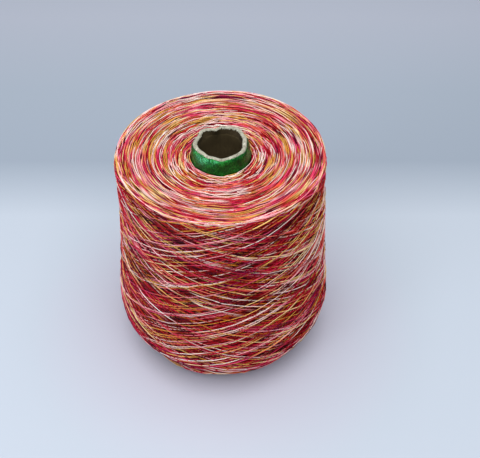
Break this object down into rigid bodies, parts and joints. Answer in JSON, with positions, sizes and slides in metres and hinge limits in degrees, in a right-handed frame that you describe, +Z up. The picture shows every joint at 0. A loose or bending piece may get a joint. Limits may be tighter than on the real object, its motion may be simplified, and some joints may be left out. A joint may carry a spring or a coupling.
{
  "type": "cone of yarn",
  "caption": "Cone of cross-wound space-dyed yarn on a tapered paperboard tube, whose turned-in nose and green ply show at the top.",
  "frame": {"origin": "centre of the tube's base, on the surface that the cone stands on", "axes": "+Z up the tube to its nose; -Y faces the viewer, +X is to the viewer's right"},
  "size_m": [0.1544, 0.1536, 0.17],
  "materials": {
    "board": "raw grey-beige paperboard",
    "coloured_ply": "varnished green paper with a fine grain",
    "dyed_yarn": "lustrous twisted yarn, space-dyed in crimson, pink, orange, gold and cream"
  },
  "bodies": {
    "root": {"paper_tube": "board", "green_ply": "coloured_ply", "yarn_package": "dyed_yarn"}
  },
  "joints": []
}
